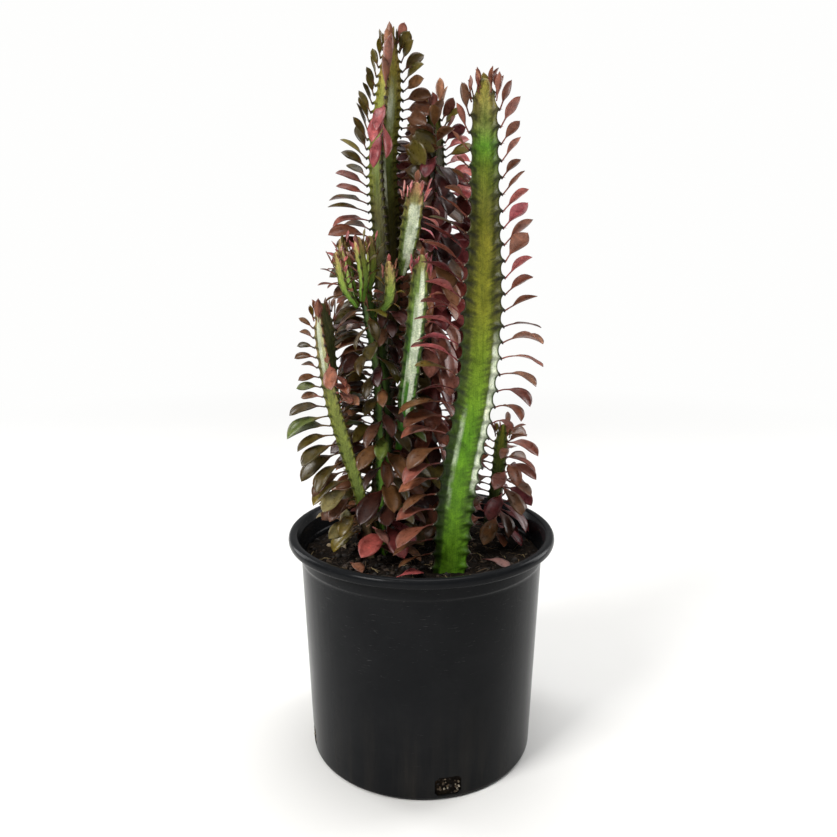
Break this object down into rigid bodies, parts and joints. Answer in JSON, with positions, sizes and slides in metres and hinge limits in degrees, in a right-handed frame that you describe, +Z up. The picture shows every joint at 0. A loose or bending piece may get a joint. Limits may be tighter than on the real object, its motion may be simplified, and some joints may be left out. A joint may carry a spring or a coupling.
{
  "type": "potted euphorbia",
  "caption": "Red-leaved African milk tree: upright three-winged green stems and side shoots edged with small maroon leaves, standing in soil in a plain round nursery pot with a rolled rim.",
  "frame": {"origin": "centre of the flat underside of the pot", "axes": "+Z up along the pot's axis, -Y towards the front, +X to the right seen from the front"},
  "size_m": [0.222, 0.222, 0.5904],
  "materials": {
    "pot_plastic": "black semi-gloss moulded plastic with faint scuffs",
    "potting_soil": "dark loose peat and bark with straw-coloured fibres",
    "stem": "waxy green to olive succulent skin with paler feathered marks",
    "young_stem": "waxy light green young skin",
    "woody_stem": "dry pale bark",
    "leaf": "satin maroon, dusty red and olive-brown leaf skin"
  },
  "bodies": {
    "root": {"branch_centre": "stem", "branch_centre_leaves": "leaf", "branch_upper": "stem", "branch_upper_leaves": "leaf", "fallen_leaf_front": "leaf", "fallen_leaf_left": "leaf", "fallen_leaf_right": "leaf", "pot": "pot_plastic", "shoot_back": "young_stem", "shoot_back_leaves": "leaf", "shoot_front": "young_stem", "shoot_front_leaves": "leaf", "shoot_inner": "young_stem", "shoot_inner_leaves": "leaf", "shoot_left": "young_stem", "shoot_left_leaves": "leaf", "shoot_right": "young_stem", "shoot_right_leaves": "leaf", "soil": "potting_soil", "stem_centre": "stem", "stem_centre_leaves": "leaf", "stem_left": "stem", "stem_left_leaves": "leaf", "stem_middle": "stem", "stem_middle_leaves": "leaf", "stem_rear": "stem", "stem_rear_leaves": "leaf", "stem_right": "stem", "stem_right_leaves": "leaf", "stem_tall": "stem", "stem_tall_leaves": "leaf", "stump": "woody_stem", "stump_leaves": "leaf"}
  },
  "joints": []
}
